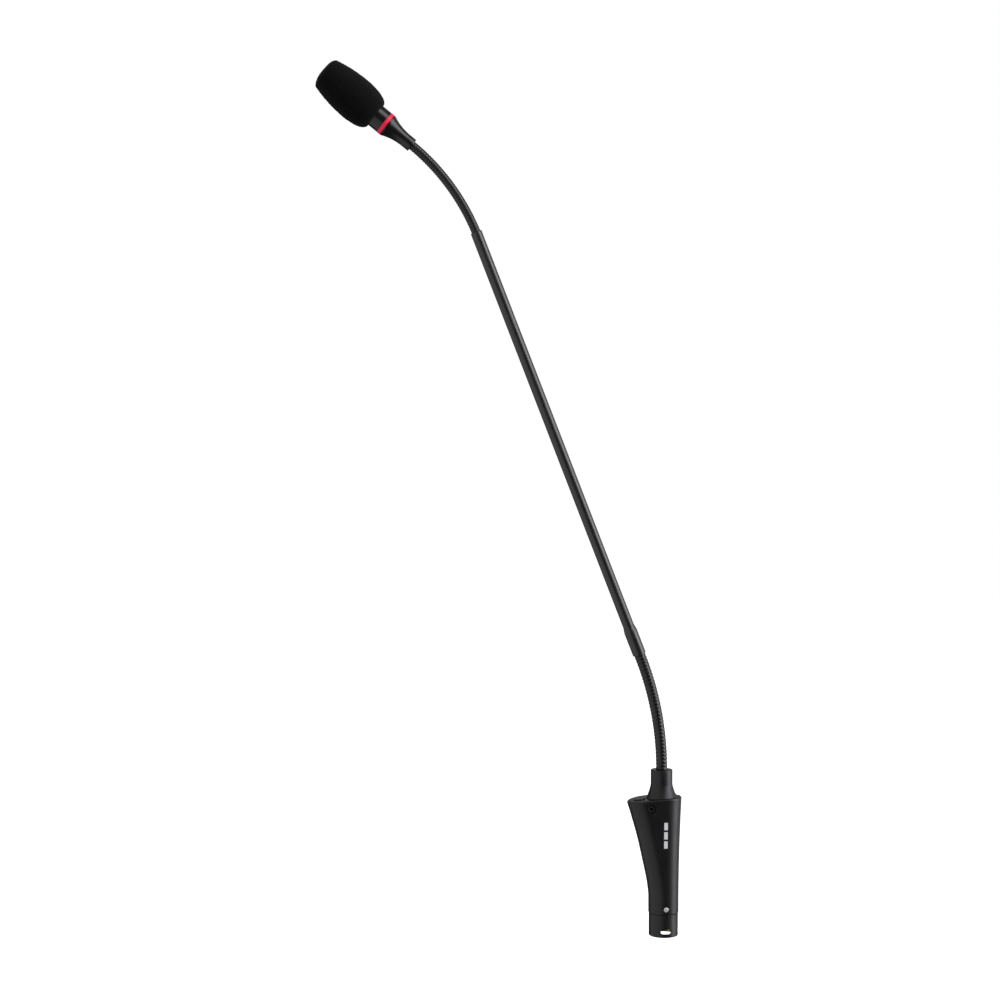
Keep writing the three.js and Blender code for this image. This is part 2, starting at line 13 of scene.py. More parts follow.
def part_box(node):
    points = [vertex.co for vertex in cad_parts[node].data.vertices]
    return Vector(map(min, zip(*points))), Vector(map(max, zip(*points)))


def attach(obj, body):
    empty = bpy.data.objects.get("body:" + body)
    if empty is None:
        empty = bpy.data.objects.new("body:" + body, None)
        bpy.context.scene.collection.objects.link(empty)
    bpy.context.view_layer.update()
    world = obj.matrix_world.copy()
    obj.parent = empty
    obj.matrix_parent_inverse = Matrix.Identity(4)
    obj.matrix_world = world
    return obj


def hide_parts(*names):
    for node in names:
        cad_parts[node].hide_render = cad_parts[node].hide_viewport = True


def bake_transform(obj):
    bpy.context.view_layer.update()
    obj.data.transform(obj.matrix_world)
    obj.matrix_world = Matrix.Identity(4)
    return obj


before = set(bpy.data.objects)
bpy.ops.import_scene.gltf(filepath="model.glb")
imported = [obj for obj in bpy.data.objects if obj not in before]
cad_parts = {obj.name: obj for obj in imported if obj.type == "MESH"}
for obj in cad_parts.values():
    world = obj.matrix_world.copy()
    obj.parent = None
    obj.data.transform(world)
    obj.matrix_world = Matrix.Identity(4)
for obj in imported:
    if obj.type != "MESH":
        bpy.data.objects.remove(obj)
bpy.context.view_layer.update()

# ---------------------------------------------------------------- sizes

MM = 0.001
GAP = 0.3  # clearance between neighbouring pieces

SHELL_RADIUS = 9.5
SHELL_BORE = 8.3
SPIGOT_RADIUS = 8.95
SPIGOT_TOP = 24
WINDOW_WIDTH = 6.8
WINDOW_BOTTOM = 2.3
WINDOW_TOP = 5.6
RETAINING_SCREW_HEIGHT = 18.4
RETAINING_SCREW_RADIUS = 1.55

FOOT_HEIGHT = 15
FOOT_RADIUS = 9.8
TOP_RADIUS = 11.65
TOP_HEIGHT = 90.6
FLARE_START = 26.5
FLARE_REACH = 12.3
FLARE_HEIGHT = 59.9
WALL = 1.5
RIM_FILLET = 0.75
CROWN_RADIUS = 185
CROWN_X = 10
COVER_THICKNESS = 2.4
SIDE_SCREW_X = -10.1
SIDE_SCREW_HEIGHT = 84.2
SIDE_SCREW_HEAD = 2.65
SIDE_SCREW_SHANK = 0.95
SIDE_SCREW_SOCKET = 1.1
SIDE_SCREW_SEAT = 2.1  # how far the head's seat lies inside the round part's radius
BUTTON_X = -16
BUTTON_RADIUS = 3.7
BUTTON_FLANGE = 4.3
BUTTON_PROUD = 0.8

NECK_X = -1.38
COLLAR_TOP = 108.1
COLLAR_RADIUS = 7.05
COLLAR_SPREAD = 2.9
STEM_RADIUS = 4.5
CABLE_RADIUS = 1.3
CABLE_BORE = 1.9
CABLE_START = -34
CABLE_INTO_HEAD = 21.4  # how far the cable runs on past the light ring
LOWER_FLEX = {"length": 77, "tilts": (0, 22.3), "crest": 3.68, "groove": 0.4, "pitch": 2.38}
TUBE = {"length": 290.3, "tilts": (21.4, 21.4), "radius": 3.65}
UPPER_FLEX = {"length": 68.3, "tilts": (22.8, 51.2), "crest": 2.97, "groove": 0.3, "pitch": 1.9}
FLEX_HINGES = 12
MOUTH_TO_HINGE = 0.5
SOCKET_DEPTH = 3  # how far a flexible neck goes into the sleeve at each of its ends
FERRULE_LENGTH = 19
FERRULE_RADIUS = 4.3

ADAPTER_LENGTH = 21.3
ADAPTER_RADIUS = 4.35
ADAPTER_FLARE_START = -17.3
RING_RADIUS = 7.6
RING_WIDTH = 2.3
RING_BORE = 4.9
HEAD_RADIUS = 7.5
HEAD_WALL = 0.8
HEAD_END = 34
FOAM_START = 8.1
FOAM_END = 51.1
FOAM_RADIUS = 13.85
FOAM_WIDEST = 23.8
FOAM_TIP_RADIUS = 11
FOAM_DOME_DEPTH = 4.1
FOAM_DOME_SPREAD = 8
FOAM_CELL = 1.1
FOAM_SKEW = 0.02  # the hand-fitted foam leans this much per millimetre from its widest place

TUBE_START = LOWER_FLEX["length"]
TUBE_END = TUBE_START + TUBE["length"]
NECK_END = TUBE_END + UPPER_FLEX["length"]
RING_AT = NECK_END + ADAPTER_LENGTH

PRINT_BARS = [(-0.5, height, 2.4, 4.8) for height in (72.8, 66.8, 60.8)]
PRINT_WHITE = (0.8, 0.8, 0.8, 1)

# ---------------------------------------------------------------- materials

# Numbers of the colour sockets of a Mix node, whose names repeat for each data type
MIX_A = 6
MIX_B = 7
MIX_RESULT = 2


def node(tree, kind, **values):
    """A shader node with its properties and numbered or named inputs set."""
    made = tree.nodes.new(kind)
    for key, value in values.items():
        if hasattr(made, key):
            setattr(made, key, value)
        else:
            made.inputs[key].default_value = value
    return made


def grain(tree, cell, detail=3.0):
    """Noise with features of the given size in millimetres, in the object's own space."""
    place = node(tree, "ShaderNodeTexCoord")
    made = node(tree, "ShaderNodeTexNoise", Scale=1 / (cell * MM), Detail=detail)
    tree.links.new(place.outputs["Object"], made.inputs["Vector"])
    return made.outputs["Fac"]


def ramp(tree, source, low, high, dark, light):
    """source from low to high, as a colour from dark to light."""
    made = node(tree, "ShaderNodeValToRGB")
    made.color_ramp.elements[0].position = low
    made.color_ramp.elements[1].position = high
    made.color_ramp.elements[0].color = (*dark, 1)
    made.color_ramp.elements[1].color = (*light, 1)
    tree.links.new(source, made.inputs["Fac"])
    return made.outputs["Color"]


def spread(tree, source, low, high):
    """source from 0.3 to 0.7, as a number from low to high."""
    made = node(tree, "ShaderNodeMapRange")
    made.inputs["From Min"].default_value = 0.3
    made.inputs["From Max"].default_value = 0.7
    made.inputs["To Min"].default_value = low
    made.inputs["To Max"].default_value = high
    tree.links.new(source, made.inputs["Value"])
    return made.outputs["Result"]


def surface(name, dark, light, roughness, cell=6.0, texture=0.35, depth=0.01, **sockets):
    """A material whose colour and roughness drift with a broad grain; a fine grain is its bump."""
    material = bpy.data.materials.new(name)
    material.use_nodes = True
    tree = material.node_tree
    shader = tree.nodes["Principled BSDF"]
    broad = grain(tree, cell)
    fine = grain(tree, texture, detail=5.0)
    tree.links.new(ramp(tree, broad, 0.35, 0.65, dark, light), shader.inputs["Base Color"])
    tree.links.new(spread(tree, broad, *roughness), shader.inputs["Roughness"])
    bump = node(tree, "ShaderNodeBump", Strength=0.6, Distance=depth * MM)
    tree.links.new(fine, bump.inputs["Height"])
    tree.links.new(bump.outputs["Normal"], shader.inputs["Normal"])
    for key, value in sockets.items():
        shader.inputs[key.replace("_", " ")].default_value = value
    return material


def printed(material, stripes):
    """Adds plain light bars, each (centre x, centre z, width, height), on the side facing -Y."""
    tree = material.node_tree
    shader = tree.nodes["Principled BSDF"]
    place = node(tree, "ShaderNodeTexCoord")
    parts = node(tree, "ShaderNodeSeparateXYZ")
    tree.links.new(place.outputs["Object"], parts.inputs[0])

    def maths(operation, first, second):
        made = node(tree, "ShaderNodeMath", operation=operation)
        for socket, value in zip(made.inputs, (first, second)):
            if isinstance(value, (int, float)):
                socket.default_value = value
            else:
                tree.links.new(value, socket)
        return made.outputs[0]

    def within(axis, centre, width):
        away = maths("ABSOLUTE", maths("SUBTRACT", parts.outputs[axis], centre * MM), 0)
        return maths("LESS_THAN", away, width / 2 * MM)

    front = maths("LESS_THAN", parts.outputs["Y"], 0)
    mask = 0
    for x, z, width, height in stripes:
        bar = maths("MULTIPLY", within("X", x, width), within("Z", z, height))
        mask = maths("MAXIMUM", bar, mask)
    mask = maths("MULTIPLY", mask, front)
    base = shader.inputs["Base Color"].links[0].from_socket
    mix = node(tree, "ShaderNodeMix", data_type="RGBA")
    tree.links.new(mask, mix.inputs["Factor"])
    tree.links.new(base, mix.inputs[MIX_A])
    mix.inputs[MIX_B].default_value = PRINT_WHITE
    tree.links.new(mix.outputs[MIX_RESULT], shader.inputs["Base Color"])
    return material


def grey(value, tint=0.0):
    """A near-neutral colour, a little bluer with tint."""
    return (value * (1 - tint), value * (1 - tint), value)


MOULDED = (grey(0.002, 0.05), grey(0.003, 0.05), (0.4, 0.46))
SATIN = (grey(0.002), grey(0.0028))
MATT = (grey(0.002), grey(0.003))

BLACK_PLASTIC = surface("moulded_black", *MOULDED, depth=0.02)
BLACK_PAINT = surface("satin_black_tube", *SATIN, (0.33, 0.38), texture=0.5, IOR=1.7)
BLACK_HEAD = surface("satin_black_head", *SATIN, (0.29, 0.34), texture=0.5, IOR=1.54)
BLACK_SHELL = surface("black_plug_shell", *MATT, (0.4, 0.46), texture=0.4)
BLACK_COIL = surface("black_oxide_coil", *MATT, (0.34, 0.4), cell=4.0, texture=0.3, IOR=1.55)
BLACK_SCREW = surface("black_oxide_screw", grey(0.0035), grey(0.005), (0.4, 0.48), texture=0.2)
BUTTON_BLACK = surface("button_black", grey(0.003), grey(0.0045), (0.34, 0.4), texture=0.3)
NICKEL = surface(
    "nickel", grey(0.82), grey(0.92), (0.5, 0.6), cell=1.5, texture=0.15, Metallic=1.0
)
GOLD = surface(
    "gold_plate", (0.62, 0.40, 0.12), (0.75, 0.52, 0.18), (0.2, 0.3), cell=1.2, Metallic=1.0
)
ALUMINIUM = surface(
    "capsule_can", grey(0.5), grey(0.62), (0.3, 0.4), cell=2.0, texture=0.1, Metallic=1.0
)
BOARD = surface("circuit_board", (0.01, 0.08, 0.03), (0.02, 0.13, 0.05), (0.35, 0.5), cell=3.0)
SLEEVE = surface("capacitor_sleeve", (0.01, 0.015, 0.06), (0.02, 0.03, 0.1), (0.3, 0.4), cell=2.0)
JACKET = surface("cable_jacket", grey(0.012), grey(0.02), (0.5, 0.6), cell=4.0, texture=0.4)
RUBBER = surface(
    "rubber_mount", grey(0.01), grey(0.018), (0.65, 0.8), cell=2.0, texture=0.2, depth=0.03
)
LENS = surface(
    "red_lens",
    (0.6, 0.003, 0.03),
    (0.7, 0.006, 0.045),
    (0.45, 0.52),
    cell=4.0,
    depth=0.004,
    Emission_Color=(1.0, 0.01, 0.06, 1),
    Emission_Strength=0.28,
)
LAMP = surface("lamp_body", (0.55, 0.02, 0.02), (0.7, 0.03, 0.03), (0.15, 0.2), cell=0.8)


def foam_material():
    """Open-cell foam: black struts round small pores that are darker with painted shade, with no
    gloss.
    """
    material = bpy.data.materials.new("open_cell_foam")
    material.use_nodes = True
    tree = material.node_tree
    shader = tree.nodes["Principled BSDF"]
    place = node(tree, "ShaderNodeTexCoord")
    pore_size = 0.75 * MM
    cells = node(tree, "ShaderNodeTexVoronoi", feature="DISTANCE_TO_EDGE", Scale=1 / pore_size)
    tree.links.new(place.outputs["Object"], cells.inputs["Vector"])
    pores = cells.outputs["Distance"]
    broad = grain(tree, 5.0)
    # painted shade: the colour darkens from the struts into the middle of each pore, where its
    # hollow would be shaded
    strut_and_pore_shade = ramp(tree, pores, 0.02, 0.22, grey(0.004), grey(0.0007))
    tint = ramp(tree, broad, 0.3, 0.7, grey(0.6), grey(1.0))
    mix = node(tree, "ShaderNodeMix", data_type="RGBA", blend_type="MULTIPLY")
    mix.inputs[0].default_value = 1
    tree.links.new(strut_and_pore_shade, mix.inputs[MIX_A])
    tree.links.new(tint, mix.inputs[MIX_B])
    tree.links.new(mix.outputs[MIX_RESULT], shader.inputs["Base Color"])
    tree.links.new(spread(tree, broad, 0.9, 1.0), shader.inputs["Roughness"])
    bump = node(tree, "ShaderNodeBump", Strength=0.8, Distance=0.25 * MM, invert=True)
    tree.links.new(pores, bump.inputs["Height"])
    tree.links.new(bump.outputs["Normal"], shader.inputs["Normal"])
    shader.inputs["Specular IOR Level"].default_value = 0.15
    shader.inputs["Sheen Weight"].default_value = 0.035
    shader.inputs["Sheen Roughness"].default_value = 0.5
    return material


FOAM = foam_material()

# ---------------------------------------------------------------- mesh tools


def mark_edges(work, crease):
    """Smooth edges, but for open ones and those sharper than crease degrees."""
    for edge in work.edges:
        edge.smooth = len(edge.link_faces) == 2 and edge.calc_face_angle(0) < radians(crease)


def as_mesh(name, vertices, faces, material, turn=Matrix.Identity(4), crease=32):
    """An object from vertices in millimetres, welded."""
    work = bmesh.new()
    made = [work.verts.new((turn @ Vector(v)) * MM) for v in vertices]
    for face in faces:
        corners = [made[i] for i in face]
        if len(set(corners)) > 2:
            work.faces.new(corners)
    bmesh.ops.remove_doubles(work, verts=work.verts, dist=1e-6)
    bmesh.ops.recalc_face_normals(work, faces=work.faces)
    return finish_mesh(name, work, material, crease)


def finish_mesh(name, work, material, crease=32):
    """An object from a bmesh, which is freed."""
    for face in work.faces:
        face.smooth = True
    mark_edges(work, crease)
    mesh = bpy.data.meshes.new(name)
    work.to_mesh(mesh)
    work.free()
    mesh.materials.append(material)
    made = bpy.data.objects.new(name, mesh)
    bpy.context.scene.collection.objects.link(made)
    return made


def arc_between(start, end, centre, steps):
    """Points on the arc from start to end about centre."""
    first, last = start - centre, end - centre
    whole = first.angle(last)
    points = []
    for i in range(steps + 1):
        share = i / steps
        before = sin((1 - share) * whole) / sin(whole)
        after = sin(share * whole) / sin(whole)
        points.append(centre + first * before + last * after)
    return points


def softened(corners, steps=4):
    """A closed outline of (radius, height, fillet) corners, each rounded by its fillet radius."""
    points = []
    for i, (radius, height, fillet) in enumerate(corners):
        here = Vector((radius, height))
        if fillet == 0:
            points.append(here)
            continue
        before = (Vector(corners[i - 1][:2]) - here).normalized()
        after = (Vector(corners[(i + 1) % len(corners)][:2]) - here).normalized()
        half = before.angle(after) / 2
        centre = here + (before + after).normalized() * (fillet / sin(half))
        reach = fillet / tan(half)
        points += arc_between(here + before * reach, here + after * reach, centre, steps)
    return points


def turned(outline, sides=72):
    """Vertices and faces of a closed (radius, height) outline turned about Z."""
    vertices, faces = [], []
    count = len(outline)
    for i in range(sides):
        angle = 2 * pi * i / sides
        vertices += [(r * cos(angle), r * sin(angle), z) for r, z in outline]
    for i in range(sides):
        for j in range(count):
            a, b = i * count, (i + 1) % sides * count
            k = (j + 1) % count
            faces.append((a + j, b + j, b + k, a + k))
    return vertices, faces


def lathe(name, corners, material, place=Matrix.Identity(4), sides=72, steps=4):
    """A turned piece from (radius, height, fillet) corners."""
    vertices, faces = turned(softened(corners, steps), sides)
    return as_mesh(name, vertices, faces, material, place)


def carve(piece, cutters, crease=32):
    """Cuts the cutters, which are removed, out of a piece."""
    for cutter in cutters:
        modifier = piece.modifiers.new("cut", "BOOLEAN")
        modifier.operation = "DIFFERENCE"
        modifier.solver = "EXACT"
        modifier.object = cutter
    bpy.context.view_layer.update()
    evaluated = piece.evaluated_get(bpy.context.evaluated_depsgraph_get())
    result = bpy.data.meshes.new_from_object(evaluated)
    work = bmesh.new()
    work.from_mesh(result)
    bmesh.ops.triangulate(work, faces=[f for f in work.faces if len(f.verts) > 4])
    bmesh.ops.dissolve_degenerate(work, edges=work.edges, dist=1e-7)
    mark_edges(work, crease)
    work.to_mesh(result)
    work.free()
    piece.modifiers.clear()
    piece.data = result
    for cutter in cutters:
        bpy.data.objects.remove(cutter)
    return piece


def bar(name, radius, low, high, place=Matrix.Identity(4), sides=32):
    """A plain cylinder for cutting with."""
    corners = [(0, low, 0), (radius, low, 0), (radius, high, 0), (0, high, 0)]
    return lathe(name, corners, BLACK_PLASTIC, place, sides)


def smooth_cut(piece, width=0.12):
    """Rounds the cut edges of a piece a little and keeps its broad faces evenly shaded."""
    bevel = piece.modifiers.new("rounding", "BEVEL")
    bevel.width = width * MM
    bevel.segments = 2
    bevel.limit_method = "ANGLE"
    bevel.angle_limit = radians(40)
    bevel.harden_normals = False
    even = piece.modifiers.new("even", "WEIGHTED_NORMAL")
    even.keep_sharp = True
    return piece


def facing(side, x, z):
    """A frame whose Z points out of the front (side -1) or the back (side 1)."""
    return Matrix.Translation((x, 0, z)) @ Matrix.Rotation(-side * pi / 2, 4, "X")


def prism(name, near, far, material, place):
    """A cutter between two outlines of equal counts, closed at both ends."""
    vertices, faces = stacked([near, far], close=False)
    count = len(near)
    faces += [tuple(range(count)), tuple(range(count, 2 * count))]
    return as_mesh(name, vertices, faces, material, place)


def settle(piece, body, slot, *nodes):
    """Rides the piece on its body, in place of CAD nodes; its slot is not used."""
    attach(piece, body)
    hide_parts(*nodes)
    return piece


# ---------------------------------------------------------------- neck path


def bent(place, stretch, part):
    """Where a stretch leads from place after part of its length. Tilts are from +Z towards -X."""
    x, z, _ = place
    start, end = (radians(t) for t in stretch["tilts"])
    bend = (end - start) * part / stretch["length"]
    chord = part if bend == 0 else part * sin(bend / 2) / (bend / 2)
    middle = start + bend / 2
    return x - chord * sin(middle), z + chord * cos(middle), start + bend


def neck_place(distance):
    """x, z and tilt at a distance along the neck from the collar; its ends run on straight."""
    place = (NECK_X, COLLAR_TOP, radians(LOWER_FLEX["tilts"][0]))
    left = distance
    for stretch in (LOWER_FLEX, TUBE, UPPER_FLEX):
        if left < 0:
            break
        part = min(left, stretch["length"])
        place = bent(place, stretch, part)
        left -= part
        if part < stretch["length"]:
            break
    x, z, tilt = place
    return x - left * sin(tilt), z + left * cos(tilt), tilt


def neck_frame(distance):
    """A frame whose Z runs along the neck at that distance."""
    x, z, tilt = neck_place(distance)
    return Matrix.Translation((x, 0, z)) @ Matrix.Rotation(-tilt, 4, "Y")


def neck_point(distance):
    x, z, _ = neck_place(distance)
    return (x * MM, 0, z * MM)


# ---------------------------------------------------------------- housing shape

OUTLINE_ARC = 44


def round_radius(z):
    share = max(0.0, (z - FOOT_HEIGHT) / (TOP_HEIGHT - FOOT_HEIGHT))
    return FOOT_RADIUS + (TOP_RADIUS - FOOT_RADIUS) * share**2.2


def flare_reach(z):
    return FLARE_REACH * max(0.0, (z - FLARE_START) / FLARE_HEIGHT) ** 1.3


def crown_height(x):
    return TOP_HEIGHT - CROWN_RADIUS + sqrt(CROWN_RADIUS**2 - (x - CROWN_X) ** 2)


def outline_point(share, z, inset, shrink=1.0):
    """A point round the housing at height z: two half rounds and flats, shrunk to their centres."""
    radius = (round_radius(z) - inset) * shrink
    turn = share * 2 * pi
    reach = flare_reach(z)
    centre = 0 if cos(turn) > 0 else -reach
    return Vector((centre + radius * cos(turn), radius * sin(turn), z))


def outline_shares():
    """Shares round the outline, with one on each side of both flats."""
    half = [i / (2 * OUTLINE_ARC) for i in range(OUTLINE_ARC + 1)]
    shift = 1e-9
    right = [-0.25 + shift + s * (1 - 4 * shift) for s in half]
    left = [0.25 + shift + s * (1 - 4 * shift) for s in half]
    return right + left


def flat_filled(points, parts=10):
    """The outline's points with more of them along its two flats."""
    half = len(points) // 2
    filled = []
    for run, end in ((points[:half], points[half]), (points[half:], points[0])):
        filled += run
        filled += [run[-1].lerp(end, i / parts) for i in range(1, parts)]
    return filled


def level(z, inset, crowned=False, sink=0.0, shrink=1.0):
    """One closed ring of the housing at a height, or at its crowned top, sunk by sink."""
    ring = []
    for share in outline_shares():
        height = z
        if crowned:
            for _ in range(4):
                height = crown_height(outline_point(share, height, inset, shrink).x) - sink
        ring.append(outline_point(share, height, inset, shrink))
    ring = flat_filled(ring)
    if crowned:
        ring = [Vector((p.x, p.y, crown_height(p.x) - sink)) for p in ring]
    return ring


def stacked(rings, close=True):
    """Vertices and faces between rings of equal counts; close joins the last ring to the first."""
    count = len(rings[0])
    vertices = [p for ring in rings for p in ring]
    faces = []
    pairs = len(rings) if close else len(rings) - 1
    for i in range(pairs):
        a, b = i * count, (i + 1) % len(rings) * count
        for j in range(count):
            k = (j + 1) % count
            faces.append((a + j, a + k, b + k, b + j))
    return vertices, faces


def between(low, high, share):
    return [a.lerp(b, share) for a, b in zip(low, high)]


def button_frame():
    """A frame on the crown at the mute button, whose Z is square to the crown."""
    slope = asin((CROWN_X - BUTTON_X) / CROWN_RADIUS)
    spot = Matrix.Translation((BUTTON_X, 0, crown_height(BUTTON_X)))
    return spot @ Matrix.Rotation(-slope, 4, "Y")


def side_screw_seat():
    """How far the side screws' seats lie from the housing's middle plane."""
    return round_radius(SIDE_SCREW_HEIGHT) - SIDE_SCREW_SEAT


# ---------------------------------------------------------------- housing


def window_cutter(turn):
    """A round-ended slot through one side of the plug's shell."""
    middle = (WINDOW_BOTTOM + WINDOW_TOP) / 2
    half = (WINDOW_TOP - WINDOW_BOTTOM) / 2
    reach = WINDOW_WIDTH / 2 - half
    ring = []
    for side in (1, -1):
        for i in range(13):
            angle = -pi / 2 + pi * i / 12
            ring.append((side * (reach + half * cos(angle)), middle + side * half * sin(angle)))
    near = [Vector((x, 2 - SHELL_BORE, z)) for x, z in ring]
    far = [Vector((x, -SHELL_RADIUS - 2, z)) for x, z in ring]
    place = Matrix.Rotation(radians(turn), 4, "Z")
    return prism("window_cutter", near, far, BLACK_SHELL, place)


def xlr_shell():
    """The plug's tube with its two latch windows and the hole for its screw."""
    corners = [
        (SHELL_BORE, 0, 0.3),
        (SHELL_RADIUS, 0, 0.6),
        (SHELL_RADIUS, FOOT_HEIGHT - GAP, 0.2),
        (SPIGOT_RADIUS, FOOT_HEIGHT - GAP, 0),
        (SPIGOT_RADIUS, SPIGOT_TOP, 0.2),
        (SHELL_BORE, SPIGOT_TOP, 0.2),
    ]
    shell = lathe("plug_shell", corners, BLACK_SHELL, sides=120)
    place = facing(-1, 0, RETAINING_SCREW_HEIGHT)
    screw_hole = bar("hole", RETAINING_SCREW_RADIUS - 0.4, 6, 12, place)
    carve(shell, [window_cutter(0), window_cutter(90), screw_hole])
    settle(smooth_cut(shell, 0.1), "base", "plug_black", "xlr_shell")


def housing():
    """The flared body: up its outside, over the rounded rim, and down its inside."""
    rise = TOP_HEIGHT - 4 - FOOT_HEIGHT
    heights = [FOOT_HEIGHT + 0.4 + rise * (i / 40) for i in range(41)]
    rings = [level(FOOT_HEIGHT, 0.35), level(FOOT_HEIGHT + 0.1, 0.1)]
    rings += [level(z, 0) for z in heights]
    top = rings[-1]
    edge = level(TOP_HEIGHT, 0, crowned=True, sink=RIM_FILLET)
    rings += [between(top, edge, share / 4) for share in range(1, 4)]
    for i in range(7):
        turn = pi * i / 6
        inset = RIM_FILLET * (1 - cos(turn))
        rings.append(level(TOP_HEIGHT, inset, crowned=True, sink=RIM_FILLET * (1 - sin(turn))))
    rings.append(level(TOP_HEIGHT, WALL, crowned=True, sink=3))
    rings.append(level(SPIGOT_TOP + GAP, WALL))
    bore = SPIGOT_RADIUS + GAP
    inner = [Vector((p.x, p.y, 0)).normalized() * bore for p in level(SPIGOT_TOP, 0)]
    rings.append([Vector((p.x, p.y, SPIGOT_TOP + GAP)) for p in inner])
    rings.append([Vector((p.x, p.y, FOOT_HEIGHT)) for p in inner])
    vertices, faces = stacked(rings)
    made = as_mesh("housing_body", vertices, faces, HOUSING_PRINTED)
    place = facing(-1, 0, RETAINING_SCREW_HEIGHT)
    cutters = [bar("hole", RETAINING_SCREW_RADIUS + 0.25, 7, 12, place)]
    recess = SIDE_SCREW_HEAD + 0.15
    seat = side_screw_seat()
    for side in (-1, 1):
        place = facing(side, SIDE_SCREW_X, SIDE_SCREW_HEIGHT)
        cutters.append(bar("recess", recess, seat - 4, seat + 6, place))
    carve(made, cutters)
    settle(smooth_cut(made), "base", "base_black", "housing")


def top_cover():
    """A crowned plate inside the housing's rim, closed on the line between its rounds' centres."""
    inset = WALL + GAP
    edge = 0.3  # size of the rounded upper edge
    shares = [i / 8 for i in range(9)]
    rings = [
        level(TOP_HEIGHT, inset, crowned=True, sink=COVER_THICKNESS, shrink=share)
        for share in shares
    ]
    rings.append(level(TOP_HEIGHT, inset, crowned=True, sink=edge))
    rings.append(level(TOP_HEIGHT, inset + 0.09, crowned=True, sink=0.09))
    rings += [level(TOP_HEIGHT, inset + edge, crowned=True, shrink=1 - share) for share in shares]
    vertices, faces = stacked(rings, close=False)
    cover = as_mesh("cover_plate", vertices, faces, BLACK_PLASTIC)
    neck_axis = Matrix.Translation((NECK_X, 0, 0))
    stem_hole = bar("stem_hole", STEM_RADIUS + GAP, 60, COLLAR_TOP, neck_axis)
    button_hole = bar("button_hole", BUTTON_RADIUS + GAP, -10, 5, button_frame(), 48)
    carve(cover, [stem_hole, button_hole])
    settle(smooth_cut(cover), "base", "base_black", "top_cover")


def side_screw(side, name):
    """A flat-headed socket screw at the bottom of its recess."""
    seat = side_screw_seat()
    corners = [
        (0, seat - 2.9, 0),
        (SIDE_SCREW_SHANK, seat - 2.9, 0.2),
        (SIDE_SCREW_SHANK, seat, 0),
        (SIDE_SCREW_HEAD, seat, 0.1),
        (SIDE_SCREW_HEAD, seat + 1.7, 0.4),
        (0, seat + 1.8, 0),
    ]
    place = facing(side, SIDE_SCREW_X, SIDE_SCREW_HEIGHT)
    screw = lathe(name + "_head", corners, BLACK_SCREW, place, 48)
    socket = bar("socket", SIDE_SCREW_SOCKET, seat - 0.6, seat + 3, place, 6)
    settle(smooth_cut(carve(screw, [socket]), 0.06), "base", "screw_black", name)


def retaining_screw():
    """The bright screw that holds the plug in the housing, with a cross recess."""
    low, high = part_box("xlr_retaining_screw")
    tip, face = -high.y / MM, -low.y / MM
    corners = [
        (0, tip, 0),
        (RETAINING_SCREW_RADIUS - 0.5, tip, 0.2),
        (RETAINING_SCREW_RADIUS - 0.5, face - 1.0, 0),
        (RETAINING_SCREW_RADIUS, face - 0.9, 0.1),
        (RETAINING_SCREW_RADIUS, face, 0.3),
        (0, face, 0),
    ]
    place = facing(-1, 0, RETAINING_SCREW_HEIGHT)
    screw = lathe("plug_screw", corners, NICKEL, place, 48)
    top = place @ Matrix.Translation((0, 0, face))
    lying = Matrix.Rotation(pi / 2, 4, "X")
    reach = 0.9
    slots = []
    for turn in (0, pi / 2):
        across = top @ Matrix.Rotation(turn, 4, "Z") @ lying
        slots.append(bar("slot", 0.16, -reach, reach, across, 8))
    settle(smooth_cut(carve(screw, slots), 0.05), "base", "bright_steel", "xlr_retaining_screw")


def mute_button():
    """A round button with a dished top, on a flange under the cover."""
    flange_top = -COVER_THICKNESS - GAP
    lip = BUTTON_RADIUS - 0.7
    dish = [
        (lip - 3 * i / 5, BUTTON_PROUD - 0.35 * sin(pi / 2 * i / 5), 0)
        for i in range(1, 6)
    ]
    corners = [
        (0, flange_top - 0.8, 0),
        (BUTTON_FLANGE, flange_top - 0.8, 0.1),
        (BUTTON_FLANGE, flange_top, 0.1),
        (BUTTON_RADIUS, flange_top, 0),
        (BUTTON_RADIUS, BUTTON_PROUD, 0.35),
        (lip, BUTTON_PROUD, 0.1),
        *dish,
        (0, BUTTON_PROUD - 0.36, 0),
    ]
    cap = lathe("mute_cap", corners, BUTTON_BLACK, button_frame())
    settle(cap, "mute_button", "black_plastic", "mute_button")


# ---------------------------------------------------------------- neck foot


